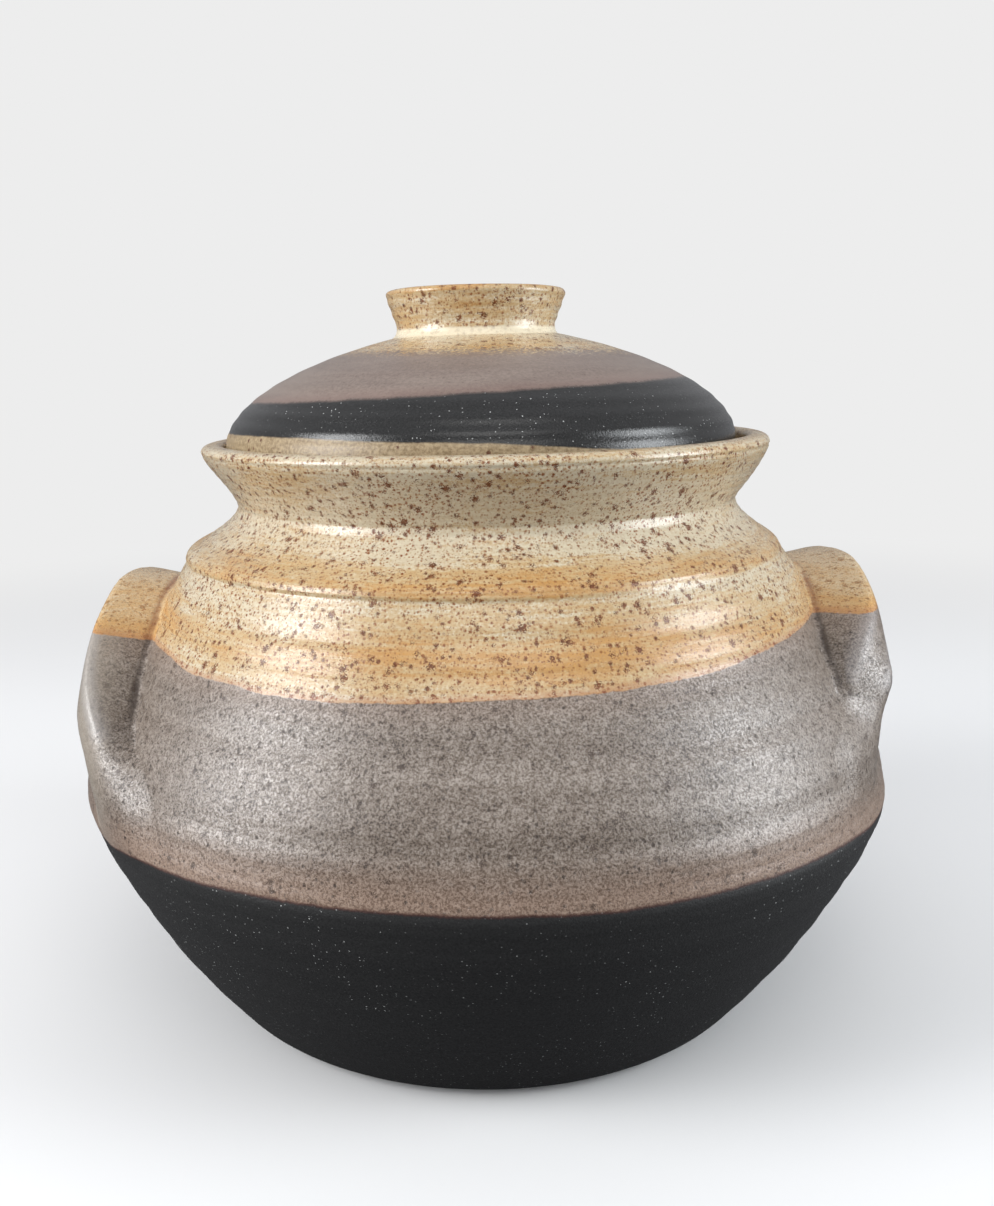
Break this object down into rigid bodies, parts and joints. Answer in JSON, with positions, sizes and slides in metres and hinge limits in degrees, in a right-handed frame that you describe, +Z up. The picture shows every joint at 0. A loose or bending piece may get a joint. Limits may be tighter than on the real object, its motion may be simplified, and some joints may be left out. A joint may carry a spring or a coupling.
{
  "type": "soup tureen",
  "caption": "Round-bellied stoneware soup tureen with a narrow neck, flared rim, lug handles and a loose domed lid with a ring knob.",
  "frame": {"origin": "centre of the foot, on the surface it stands on", "axes": "+Z up through the knob, +X to the right handle and -Y to the side that faces the viewer in the picture"},
  "size_m": [0.25, 0.25, 0.2173],
  "materials": {
    "pot_glaze": "tan speckled glaze above, satin grey in the middle, matte black below",
    "handle_glaze": "tan speckled glaze above, satin grey below",
    "lid_glaze": "bands of tan, mauve grey, glossy black and olive tan",
    "knob_glaze": "glossy tan with brown iron specks"
  },
  "bodies": {
    "pot": {"pot_body": "pot_glaze", "left_handle": "handle_glaze", "right_handle": "handle_glaze"},
    "lid": {"lid": "lid_glaze", "lid_knob": "knob_glaze"}
  },
  "joints": [
    {"name": "lid_lift", "type": "slide", "parent": "pot", "child": "lid", "axis": [0, 0, 1], "range_m": [0, 0.15]}
  ]
}
